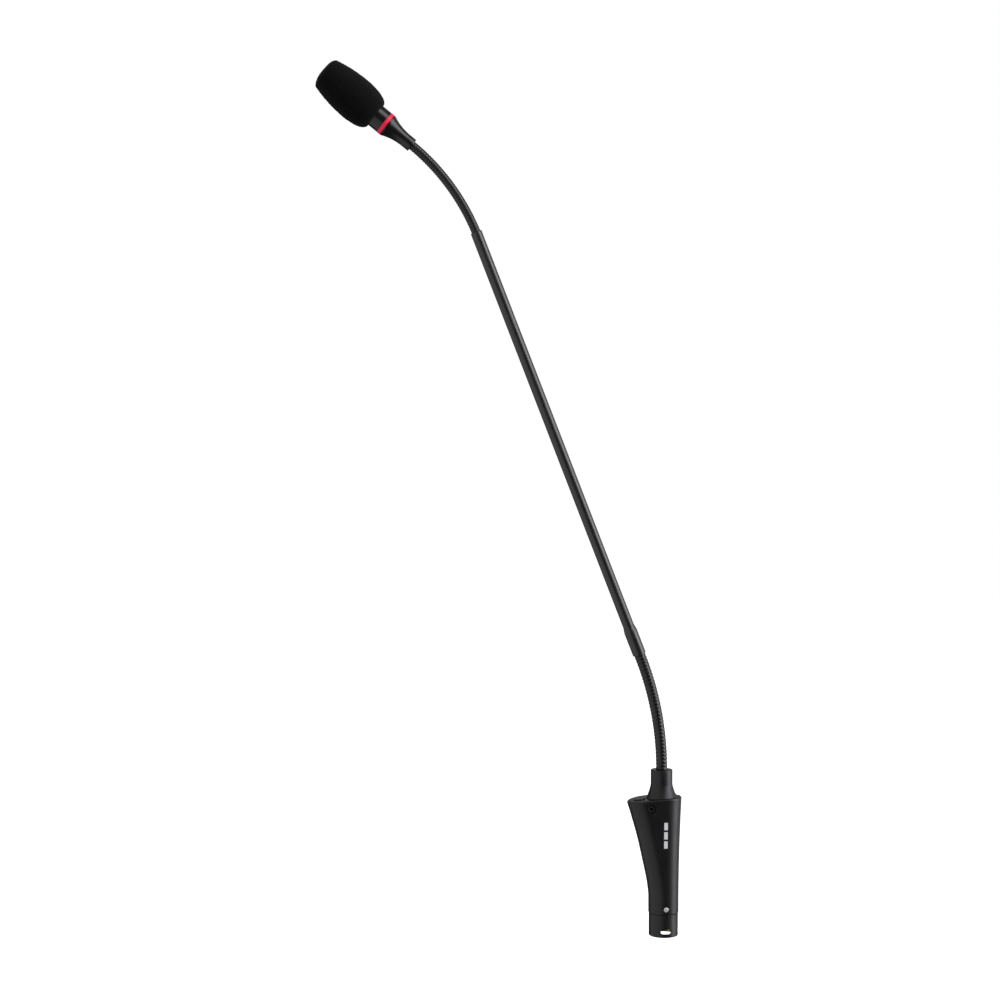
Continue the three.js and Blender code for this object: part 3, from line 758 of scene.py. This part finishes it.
def neck_collar():
    """The flared collar. Its skirt's lower edge follows the crowned cover."""
    sides = 96
    flare_from = 9
    rows = 12
    mouth = LOWER_FLEX["crest"] + 0.12
    rings = []

    def ring(radius_at, height_at):
        made = []
        for i in range(sides):
            angle = 2 * pi * i / sides
            radius = radius_at(angle)
            height = height_at(radius, angle)
            made.append(Vector((NECK_X + radius * cos(angle), radius * sin(angle), height)))
        return made

    def on_cover(radius, angle):
        return crown_height(NECK_X + radius * cos(angle)) + 0.05

    def plain(radius, depth):
        rings.append(ring(lambda angle: radius, lambda r, angle: COLLAR_TOP - depth))

    plain(STEM_RADIUS, 27.5)
    plain(STEM_RADIUS, 19.5)
    foot = COLLAR_RADIUS + COLLAR_SPREAD
    rings.append(ring(lambda angle: foot - 0.15, on_cover))
    for i in range(rows + 1):
        share = 1 - i / rows
        radius = COLLAR_RADIUS + COLLAR_SPREAD * share**1.5

        def height(r, angle, share=share):
            bottom = on_cover(foot, angle) + 0.12
            start = COLLAR_TOP - flare_from
            return start + (bottom - start) * share

        rings.append(ring(lambda angle, radius=radius: radius, height))
    edge = 0.45
    for i in range(5):
        turn = pi / 2 * i / 4
        plain(COLLAR_RADIUS - edge * (1 - cos(turn)), edge * (1 - sin(turn)))
    for i in range(4):
        turn = pi / 2 * i / 3
        plain(mouth + 0.3 * (1 - sin(turn)), 0.3 * (1 - cos(turn)))
    plain(mouth, SOCKET_DEPTH)
    plain(CABLE_BORE, SOCKET_DEPTH + 0.3)
    plain(CABLE_BORE, 27.5)
    vertices, faces = stacked(rings)
    collar = as_mesh("collar_body", vertices, faces, BLACK_PLASTIC)
    settle(collar, "base", "base_black", "neck_collar")


# ---------------------------------------------------------------- flexible necks


def coil_radius(flex, distance, angle):
    """Outer radius of the winding: rounded ridges that climb round the neck."""
    phase = distance / flex["pitch"] + angle / (2 * pi)
    off = 2 * abs(phase - round(phase))
    return flex["crest"] - flex["groove"] * (1 - sqrt(max(0.0, 1 - 0.97 * off**2)))


def ring_round(distance, radius_at, sides):
    """A ring about the neck at a distance along it, with a radius for each angle."""
    place = neck_frame(distance)
    ring = []
    for i in range(sides):
        angle = 2 * pi * i / sides
        radius = radius_at(angle)
        ring.append(place @ Vector((radius * cos(angle), radius * sin(angle), 0)))
    return ring


def coil_piece(name, flex, start, low, high, node_names):
    """One length of the wound neck, from low to high, about the hinge place inside it."""
    sides = 48
    rows_per_turn = 12
    rows = max(2, round((high - low) / flex["pitch"] * rows_per_turn))
    rings = []
    for i in range(rows + 1):
        distance = low + (high - low) * i / rows

        def outer(angle, distance=distance):
            return coil_radius(flex, distance, angle)

        rings.append(ring_round(start + distance, outer, sides))
    for distance in (high, low):
        rings.append(ring_round(start + distance, lambda angle: CABLE_BORE, sides))
    vertices, faces = stacked(rings)
    piece = as_mesh(name, vertices, faces, BLACK_COIL, crease=70)
    if node_names:
        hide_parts(*node_names)
    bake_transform(piece)


def wire_piece(name, low, high):
    """A length of the signal cable along the neck."""
    sides = 20
    rows = max(2, round((high - low) / 2))
    rings = []
    for i in range(rows + 1):
        distance = low + (high - low) * i / rows
        rings.append(ring_round(distance, lambda angle: CABLE_RADIUS, sides))
    vertices, faces = stacked(rings, close=False)
    faces += [tuple(range(sides)), tuple(range(len(vertices) - sides, len(vertices)))]
    piece = as_mesh(name, vertices, faces, JACKET)
    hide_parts("signal_cable")
    return piece


def flexible_neck(name, flex, start):
    """Twelve lengths, one about each hinge place. Each runs from the middle of one link to the
    middle of the next.
    """
    length = flex["length"]
    step = (length - 2 * MOUTH_TO_HINGE) / (FLEX_HINGES - 1)
    links = [f"{name}_flex_link_{i + 1:02d}" for i in range(FLEX_HINGES - 1)]
    for i in range(FLEX_HINGES):
        hinge = MOUTH_TO_HINGE + step * i
        low = -SOCKET_DEPTH + GAP if i == 0 else hinge - step / 2
        high = length + SOCKET_DEPTH - GAP if i == FLEX_HINGES - 1 else hinge + step / 2
        bend_from = neck_point(start + max(0, low))
        bend_to = neck_point(start + min(length, high))
        replaced = [links[i]] if i < len(links) else []
        number = f"{i + 1:02d}"
        coil = f"{name}_coil_{number}"
        coil_piece(coil, flex, start, low, high, replaced)
        wire_low, wire_high = start + max(0, low), start + min(length, high)
        wire = wire_piece(f"{name}_wire_{number}", wire_low, wire_high)
        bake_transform(wire)


# ---------------------------------------------------------------- stem


def lower_ferrule():
    """The fitting that joins the lower flexible neck to the tube."""
    mouth = LOWER_FLEX["crest"] + 0.08
    tube = TUBE["radius"]
    bore = tube - 0.95
    corners = [
        (CABLE_BORE, SOCKET_DEPTH, 0),
        (mouth, SOCKET_DEPTH, 0),
        (mouth, 0, 0.08),
        (FERRULE_RADIUS, 0, 0.25),
        (FERRULE_RADIUS, FERRULE_LENGTH - 3.2, 1.2),
        (tube + 0.12, FERRULE_LENGTH, 0.06),
        (bore - GAP, FERRULE_LENGTH, 0),
        (bore - GAP, FERRULE_LENGTH + 6, 0.2),
        (CABLE_BORE, FERRULE_LENGTH + 6, 0.2),
    ]
    piece = lathe("ferrule_body", corners, BLACK_PAINT, neck_frame(TUBE_START))
    settle(piece, "stem", "stem_black", "lower_ferrule")


def stem_tube():
    """The long rigid tube. Its upper end is rolled in a little over the upper flexible neck."""
    radius = TUBE["radius"]
    bore = radius - 0.95
    mouth = UPPER_FLEX["crest"] + 0.08
    low = FERRULE_LENGTH + 0.05
    high = TUBE["length"]
    rungs = 24
    corners = [(bore, low, 0)]
    corners += [(radius, low + (high - 3 - low) * i / rungs, 0) for i in range(rungs + 1)]
    corners += [
        (radius, high, 0.4),
        (mouth, high, 0.1),
        (mouth, high - SOCKET_DEPTH, 0),
        (bore, high - SOCKET_DEPTH - 0.6, 0),
    ]
    piece = lathe("tube_body", corners, BLACK_PAINT, neck_frame(TUBE_START + 1e-6), 96)
    settle(piece, "stem", "stem_black", "stem_tube")


# ---------------------------------------------------------------- head


def neck_adapter():
    """The flared sleeve between the flexible neck and the head."""
    rim = -RING_WIDTH / 2 - 0.06
    rim_start = rim - 0.8
    spread_by = HEAD_RADIUS - ADAPTER_RADIUS
    mouth = UPPER_FLEX["crest"] + 0.08
    rows = 20
    corners = [
        (CABLE_BORE, SOCKET_DEPTH - ADAPTER_LENGTH, 0),
        (mouth, SOCKET_DEPTH - ADAPTER_LENGTH, 0),
        (mouth, -ADAPTER_LENGTH, 0.08),
        (ADAPTER_RADIUS, -ADAPTER_LENGTH, 0.2),
    ]
    for i in range(rows + 1):
        share = i / rows
        along = ADAPTER_FLARE_START + (rim_start - ADAPTER_FLARE_START) * share
        corners.append((ADAPTER_RADIUS + spread_by * share**2.2, along, 0))
    corners += [
        (HEAD_RADIUS, rim, 0.12),
        (HEAD_RADIUS - 1.2, rim, 0),
        (CABLE_BORE + 0.6, -9, 0),
        (CABLE_BORE, -12, 0),
    ]
    piece = lathe("adapter_body", corners, BLACK_HEAD, neck_frame(RING_AT), 96)
    settle(piece, "head", "head_black", "neck_adapter")


def light_ring():
    """The red translucent ring between the adapter and the sleeve."""
    half = RING_WIDTH / 2
    corners = [
        (RING_BORE, -half, 0),
        (RING_RADIUS, -half, 0.25),
        (RING_RADIUS, half, 0.25),
        (RING_BORE, half, 0),
    ]
    piece = lathe("ring_lens", corners, LENS, neck_frame(RING_AT), 96)
    settle(piece, "head", "red_lens", "light_ring")


def capsule_housing():
    """The slotted sleeve round the capsule."""
    low = RING_WIDTH / 2 + 0.06
    inner = HEAD_RADIUS - HEAD_WALL
    corners = [
        (inner, low, 0),
        (HEAD_RADIUS, low, 0.12),
        (HEAD_RADIUS, HEAD_END, 0.3),
        (inner, HEAD_END, 0.2),
    ]
    place = neck_frame(RING_AT)
    sleeve = lathe("capsule_sleeve", corners, BLACK_HEAD, place, 128)
    slots = []
    count = 8
    for i in range(count):
        turn = Matrix.Rotation(2 * pi * (i + 0.5) / count, 4, "Z")
        slots.append(round_slot(width=1.8, length=11, middle=18, place=place @ turn))
    carve(sleeve, slots)
    settle(smooth_cut(sleeve, 0.1), "head", "head_black", "capsule_housing")


def round_slot(width, length, middle, place):
    """A round-ended cutter through one wall of the capsule housing."""
    half = width / 2
    reach = length / 2 - half
    ring = []
    for side in (1, -1):
        for i in range(9):
            angle = pi * i / 8
            ring.append((side * half * cos(angle), middle + side * (reach + half * sin(angle))))
    near = [Vector((HEAD_RADIUS - 2, y, z)) for y, z in ring]
    far = [Vector((HEAD_RADIUS + 2, y, z)) for y, z in ring]
    return prism("slot_cutter", near, far, BLACK_HEAD, place)


def front_grille():
    """A perforated disc inside the end of the capsule housing."""
    radius = HEAD_RADIUS - HEAD_WALL - 0.05
    corners = [
        (0, HEAD_END - 1.6, 0),
        (radius, HEAD_END - 1.6, 0.1),
        (radius, HEAD_END - 0.4, 0.3),
        (0, HEAD_END - 0.2, 0),
    ]
    place = neck_frame(RING_AT)
    disc = lathe("grille_disc", corners, BLACK_HEAD, place, 96)
    pitch = 2.2
    outermost = 5.3
    holes = []
    for row in range(-2, 3):
        for column in range(-2, 3):
            x = pitch * (column + row / 2)
            y = pitch * row * sqrt(3) / 2
            if x * x + y * y < outermost**2:
                spot = place @ Matrix.Translation((x, y, 0))
                holes.append(bar("hole", 0.7, HEAD_END - 3, HEAD_END + 1, spot, 20))
    settle(smooth_cut(carve(disc, holes), 0.06), "head", "head_black", "front_grille")


# ---------------------------------------------------------------- foam


def foam_radius(along):
    """Outer radius of the windscreen along the head: a swelling, a slow taper and a domed tip."""
    mouth = HEAD_RADIUS + 0.8
    dome_start = FOAM_END - FOAM_DOME_DEPTH
    if along < FOAM_WIDEST:
        share = 1 - (along - FOAM_START) / (FOAM_WIDEST - FOAM_START)
        return mouth + (FOAM_RADIUS - mouth) * sqrt(max(0.0, 1 - share**2))
    if along < dome_start:
        share = (along - FOAM_WIDEST) / (dome_start - FOAM_WIDEST)
        return FOAM_RADIUS - (FOAM_RADIUS - FOAM_TIP_RADIUS) * share**2
    share = min(1.0, (along - dome_start) / FOAM_DOME_DEPTH)
    return FOAM_TIP_RADIUS - FOAM_DOME_SPREAD + FOAM_DOME_SPREAD * sqrt(1 - share**2)


def foam_outline():
    """Outer points from the mouth's lip to the tip, about half a millimetre apart."""
    lip = 0.7
    points = []
    for i in range(5):
        turn = pi / 2 * i / 4
        radius = HEAD_RADIUS + 0.1 + lip * (1 - cos(turn))
        points.append((radius, FOAM_START + lip * (1 - sin(turn))))
    points.reverse()
    swell = 34
    for i in range(1, swell + 1):
        along = FOAM_START + (FOAM_WIDEST - FOAM_START) * (1 - cos(pi / 2 * i / swell))
        points.append((foam_radius(along), along))
    taper = 46
    dome_start = FOAM_END - FOAM_DOME_DEPTH
    for i in range(1, taper + 1):
        along = FOAM_WIDEST + (dome_start - FOAM_WIDEST) * i / taper
        points.append((foam_radius(along), along))
    dome = 20
    for i in range(1, dome + 1):
        along = dome_start + FOAM_DOME_DEPTH * sin(pi / 2 * i / dome)
        points.append((foam_radius(along), along))
    last = points[-1][0]
    cap = 8
    points += [(last * (1 - i / cap), FOAM_END) for i in range(1, cap + 1)]
    return points


def windscreen():
    """The foam ball: small pores over slow swellings, hand-fitted a little askew."""
    sides = 224
    outer = foam_outline()
    pocket = HEAD_RADIUS + 0.1
    pocket_end = HEAD_END + 1.5
    inner = [
        (0, pocket_end),
        (pocket - 1, pocket_end),
        (pocket, pocket_end - 1),
        (pocket, FOAM_START + 2),
    ]
    vertices, faces = turned(outer + inner, sides)
    place = neck_frame(RING_AT)
    shaped = []
    for x, y, z in vertices:
        point = Vector((x, y, z))
        radius = Vector((x, y, 0)).length
        if radius > pocket + 0.2 or z > pocket_end + 1:
            cells = noise.voronoi(point / FOAM_CELL)[0]
            pores = 0.28 * min(1.0, cells[1] - cells[0]) - 0.16
            swell = 0.16 * noise.noise(point / 5.5) + 0.07 * noise.noise(point / 1.7)
            outward = Vector((x, y, 0.35 * (z - 30))).normalized()
            fade = min(1.0, (radius - pocket) / 1.5 + max(0.0, z - pocket_end))
            point += outward * (pores + swell) * fade
            leaning = min(1.0, max(0.0, (z - FOAM_START) / 6))
            point.x += FOAM_SKEW * (z - FOAM_WIDEST) * leaning
        shaped.append(point)
    piece = as_mesh("foam_cover", shaped, faces, FOAM, place, crease=80)
    settle(piece, "windscreen", "foam", "foam_windscreen")


# ---------------------------------------------------------------- what stays of the CAD model

KEPT_LOOKS = {
    "xlr_insulator": BUTTON_BLACK,
    "switch_plunger": BUTTON_BLACK,
    "tact_switch": BUTTON_BLACK,
    "amplifier_chip": BUTTON_BLACK,
    "switch_board": BOARD,
    "preamp_board": BOARD,
    "led_board": BOARD,
    "capacitor_1": SLEEVE,
    "capacitor_2": SLEEVE,
    "lock_washer": NICKEL,
    "neck_nut": NICKEL,
    "pin_wire_1": JACKET,
    "pin_wire_2": JACKET,
    "pin_wire_3": JACKET,
    "ring_led_1": LAMP,
    "ring_led_2": LAMP,
    "capsule_mount": RUBBER,
    "condenser_capsule": ALUMINIUM,
}


def plug_pin(number):
    """A contact pin with a rounded tip, where the CAD pin stands."""
    name = f"xlr_pin_{number}"
    low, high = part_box(name)
    middle = (low + high) / 2 / MM
    radius = (high.x - low.x) / 2 / MM
    corners = [
        (0, low.z / MM, 0),
        (radius, low.z / MM, radius * 0.8),
        (radius, high.z / MM, 0.2),
        (0, high.z / MM, 0),
    ]
    place = Matrix.Translation((middle.x, middle.y, 0))
    pin = lathe(f"contact_{number}", corners, GOLD, place, 32, 6)
    settle(pin, "base", "pin_gold", name)


def dress_kept_nodes():
    """Gives the CAD pieces that stay their materials and lightly rounded edges."""
    for name, material in KEPT_LOOKS.items():
        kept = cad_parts[name]
        kept.data.materials.clear()
        kept.data.materials.append(material)
        even = kept.modifiers.new("rounding", "BEVEL")
        even.width = 0.08 * MM
        even.segments = 2
        even.limit_method = "ANGLE"
        even.angle_limit = radians(50)


# ---------------------------------------------------------------- the object

HOUSING_PRINTED = printed(surface("moulded_black_printed", *MOULDED, depth=0.02), PRINT_BARS)

dress_kept_nodes()
xlr_shell()
for number in (1, 2, 3):
    plug_pin(number)
housing()
top_cover()
side_screw(-1, "side_screw_front")
side_screw(1, "side_screw_back")
retaining_screw()
mute_button()
neck_collar()
flexible_neck("lower", LOWER_FLEX, 0)
lower_ferrule()
stem_tube()
flexible_neck("upper", UPPER_FLEX, TUBE_END)
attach(wire_piece("base_wire", CABLE_START, 0), "base")
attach(wire_piece("stem_wire", TUBE_START, TUBE_END), "stem")
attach(wire_piece("head_wire", NECK_END, RING_AT + CABLE_INTO_HEAD), "head")
neck_adapter()
light_ring()
capsule_housing()
front_grille()
windscreen()

# ---------------------------------------------------------------- studio

# Metres from here on
CAMERA_PLACE = (-0.2536, -1.2686, 0.3277)
CAMERA_PITCH = 88
CAMERA_AZIMUTH = -6.6
LENS_LENGTH = 72
SENSOR_WIDTH = 36
LIT_POINT = Vector((-0.1, 0, 0.28))

def heading(azimuth, rise):
    """A direction, azimuth degrees right of the camera's side and rise degrees up."""
    turn, lift = radians(azimuth + CAMERA_AZIMUTH), radians(rise)
    return Vector((sin(turn) * cos(lift), -cos(turn) * cos(lift), sin(lift)))


def panel(name, place, width, height, radiance):
    """A rectangular light of even radiance, unseen by the camera. It shines along its own -Z."""
    light = bpy.data.lights.new(name, "AREA")
    light.shape = "RECTANGLE"
    light.size = width
    light.size_y = height
    light.energy = radiance * pi * width * height
    made = bpy.data.objects.new(name, light)
    made.matrix_world = place
    made.visible_camera = False
    bpy.context.scene.collection.objects.link(made)
    return made


def soft_light(name, azimuth, rise, distance, width, height, radiance):
    """A panel in the given direction, upright and facing the object."""
    away = heading(azimuth, rise)
    facing_in = away.to_track_quat("Z", "Y").to_matrix().to_4x4()
    place = Matrix.Translation(LIT_POINT + away * distance) @ facing_in
    panel(name, place, width, height, radiance)


def leaning_light(name, low, high, distance, width, radiance, tint):
    """A panel whose long side runs from one direction to another, each an azimuth and a rise."""
    start, end = heading(*low) * distance, heading(*high) * distance
    along = (end - start).normalized()
    middle = (start + end) / 2
    away = (middle - along * middle.dot(along)).normalized()
    place = Matrix((along.cross(away), along, away)).transposed().to_4x4()
    place.translation = LIT_POINT + middle
    panel(name, place, width, (end - start).length, radiance).data.color = tint


camera = bpy.data.objects.new("camera", bpy.data.cameras.new("camera"))
camera.data.lens = LENS_LENGTH
camera.data.sensor_width = SENSOR_WIDTH
camera.location = CAMERA_PLACE
camera.rotation_euler = (radians(CAMERA_PITCH), 0, radians(CAMERA_AZIMUTH))
bpy.context.scene.collection.objects.link(camera)
bpy.context.scene.camera = camera

soft_light("key", -66, -6, distance=1.6, width=4.4, height=4.4, radiance=0.66)
soft_light("fill_back", 150, 10, distance=1.8, width=3.0, height=2.4, radiance=0.45)
soft_light("top", -20, 68, distance=1.8, width=1.6, height=1.2, radiance=1.0)
leaning_light(
    "strip", (92, -22), (44, 52), distance=3.0, width=1.55, radiance=4.3, tint=(0.95, 0.93, 1.0)
)


def studio_world():
    """A white backdrop to the eye, and a dim even surround to everything that reflects it."""
    world = bpy.data.worlds.new("studio")
    world.use_nodes = True
    tree = world.node_tree
    backdrop = tree.nodes["Background"]
    backdrop.inputs["Color"].default_value = (1, 1, 1, 1)
    backdrop.inputs["Strength"].default_value = 1.0
    surround = node(tree, "ShaderNodeBackground", Strength=0.06)
    surround.inputs["Color"].default_value = (0.95, 0.97, 1.0, 1)
    path = node(tree, "ShaderNodeLightPath")
    mix = node(tree, "ShaderNodeMixShader")
    tree.links.new(path.outputs["Is Camera Ray"], mix.inputs[0])
    tree.links.new(surround.outputs[0], mix.inputs[1])
    tree.links.new(backdrop.outputs[0], mix.inputs[2])
    tree.links.new(mix.outputs[0], tree.nodes["World Output"].inputs["Surface"])
    bpy.context.scene.world = world


def studio_floor():
    """A plain white floor well below the plug, as bright as the backdrop."""
    half = 6000  # in millimetres, as for every mesh
    drop = -160
    corners = [(-half, -half), (half, -half), (half, half), (-half, half)]
    ring = [(x, y, drop) for x, y in corners]
    material = bpy.data.materials.new("floor_white")
    material.use_nodes = True
    shader = material.node_tree.nodes["Principled BSDF"]
    shader.inputs["Base Color"].default_value = (0.8, 0.8, 0.8, 1)
    shader.inputs["Roughness"].default_value = 0.9
    shader.inputs["Emission Color"].default_value = (1, 1, 1, 1)
    shader.inputs["Emission Strength"].default_value = 0.95
    floor = as_mesh("floor", ring, [(0, 1, 2, 3)], material)
    floor.visible_glossy = False
    floor.visible_diffuse = False
    floor.visible_shadow = False


studio_world()
studio_floor()
bpy.context.scene.view_settings.view_transform = "Standard"
